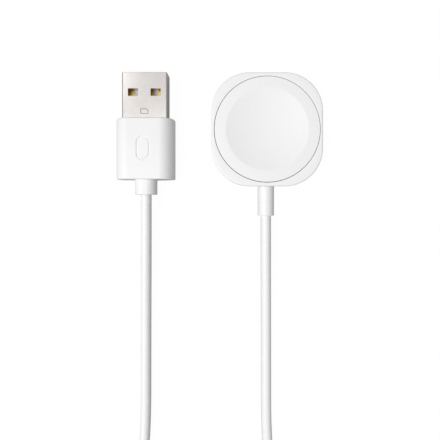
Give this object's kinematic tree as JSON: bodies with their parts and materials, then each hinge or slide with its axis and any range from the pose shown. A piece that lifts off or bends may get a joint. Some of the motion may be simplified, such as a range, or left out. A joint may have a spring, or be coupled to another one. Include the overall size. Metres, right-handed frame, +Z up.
{
  "type": "smartwatch charging cable",
  "caption": "White magnetic charging head for a smartwatch, a rounded square with a round concave face, on a thin cord that ends in a flat type A plug.",
  "frame": {"origin": "centre of the charging head's base, on the surface that the cable lies on", "axes": "+Z up, out of the concave charging face; -Y is the way the cord leaves the head; the plug lies on the -X side and points to +Y"},
  "size_m": [0.0547, 0.1575, 0.008],
  "materials": {
    "shell_white": "satin moulded polycarbonate",
    "face_white": "smooth moulded disc",
    "sleeve_white": "soft moulded elastomer",
    "cord_white": "extruded elastomer jacket",
    "plug_body_white": "fine satin moulding",
    "plug_steel": "nickel plated sheet",
    "contact_gold": "gold plated strip",
    "carrier_plastic": "moulded",
    "inner_plastic": "moulded",
    "wire_red": "extruded",
    "wire_black": "extruded",
    "coil_copper": "enamelled wire",
    "ferrite_grey": "sintered",
    "magnet_nickel": "plated",
    "keeper_steel": "stamped",
    "board_green": "solder mask",
    "chip_black": "moulded",
    "capacitor_tan": "fired ceramic",
    "adhesive_clear": "glue film",
    "tie_white": "flat strap"
  },
  "bodies": {
    "root": {"charger_shell": "shell_white", "charging_face": "face_white", "face_adhesive_ring": "adhesive_clear", "charging_coil": "coil_copper", "coil_leads": "coil_copper", "ferrite_core": "ferrite_grey", "centre_magnet": "magnet_nickel", "steel_keeper": "keeper_steel", "circuit_board": "board_green", "controller_chip": "chip_black", "driver_chip": "chip_black", "capacitors": "capacitor_tan", "head_strain_relief": "sleeve_white", "head_power_wire": "wire_red", "head_ground_wire": "wire_black", "plug_shell": "plug_steel", "contact_carrier": "carrier_plastic", "inner_mould": "inner_plastic", "plug_housing": "plug_body_white", "plug_power_wire": "wire_red", "plug_ground_wire": "wire_black", "contact_power": "contact_gold", "contact_data_minus": "contact_gold", "contact_data_plus": "contact_gold", "contact_ground": "contact_gold", "cord_head_run": "cord_white", "cord_plug_run": "cord_white", "cord_coil": "cord_white", "coil_tie": "tie_white"}
  },
  "joints": []
}
